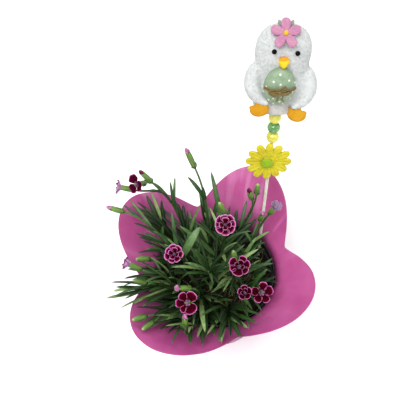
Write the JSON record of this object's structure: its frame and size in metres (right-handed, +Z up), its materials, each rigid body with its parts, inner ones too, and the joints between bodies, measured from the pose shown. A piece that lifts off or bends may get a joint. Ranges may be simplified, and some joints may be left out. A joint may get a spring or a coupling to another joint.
{
  "type": "potted dianthus plant",
  "caption": "Pot of dwarf pinks in bloom, in a flower-shaped film sleeve, with a small plush bird on a stick.",
  "frame": {"origin": "centre of the film sleeve's flat round underside, on the surface that the pot stands on", "axes": "+Z up, -Y towards the front, where the bird faces, +X to the right seen from the front"},
  "size_m": [0.205, 0.1949, 0.3555],
  "materials": {
    "film": "dull pink film",
    "pot": "black, slightly glossy",
    "soil": "dark damp peat with bark",
    "leaf": "dark green leaves and paler stems and calyces",
    "petal": "dark burgundy with a bright magenta ring and a pale toothed edge",
    "lilac": "lilac backs of half-open petals",
    "bud_tip": "rolled petals just showing",
    "stick": "white",
    "yellow_felt": "yellow felt",
    "lime_felt": "lime felt",
    "green_bead": "glossy speckled green",
    "yellow_bead": "glossy speckled yellow",
    "orange_felt": "orange felt",
    "beak_felt": "orange above, yellow below",
    "eye": "glossy black",
    "plush": "white fleece",
    "egg": "sage green with white dots",
    "twine": "brown twine",
    "pink_felt": "pink felt",
    "silver_leaf": "grey-silver",
    "flower_centre": "yellow felt"
  },
  "bodies": {
    "root": {"film_sleeve": "film", "pot": "pot", "soil": "soil", "stem_centre": "leaf", "stem_left": "leaf", "stem_right": "leaf", "stem_front_left": "leaf", "stem_front_right": "leaf", "stem_back_left": "leaf", "stem_far_left": "leaf", "stem_tall": "leaf", "stem_left_low": "leaf", "stem_left_bud": "leaf", "stem_low_left": "leaf", "stem_front_bud": "leaf", "stem_back_right": "leaf", "stem_right_bud": "leaf", "shoot_front": "leaf", "shoot_front_left": "leaf", "shoot_left": "leaf", "shoot_back": "leaf", "shoot_back_left": "leaf", "shoot_right": "leaf", "shoot_middle": "leaf", "corolla_1": "petal", "corolla_2": "petal", "corolla_3": "petal", "corolla_4": "petal", "corolla_5": "petal", "corolla_6": "petal", "corolla_7": "petal", "corolla_8": "lilac", "corolla_9": "lilac", "corolla_10": "lilac", "bud_tip_1": "bud_tip", "bud_tip_2": "bud_tip", "bud_tip_3": "bud_tip", "bud_tip_4": "bud_tip", "bud_tip_5": "bud_tip", "bud_tip_6": "bud_tip", "bud_tip_7": "bud_tip", "stick": "stick", "daisy_petals": "yellow_felt", "daisy_centre": "lime_felt", "bead_lower": "yellow_bead", "bead_middle": "green_bead", "bead_upper": "yellow_bead", "bird_body": "plush", "bird_wing_left": "plush", "bird_wing_right": "plush", "bird_foot_left": "orange_felt", "bird_foot_right": "orange_felt", "bird_beak": "beak_felt", "bird_eye_left": "eye", "bird_eye_right": "eye", "egg": "egg", "twine_bow": "twine", "head_flower": "pink_felt", "head_leaves": "silver_leaf", "head_flower_centre": "flower_centre"}
  },
  "joints": []
}
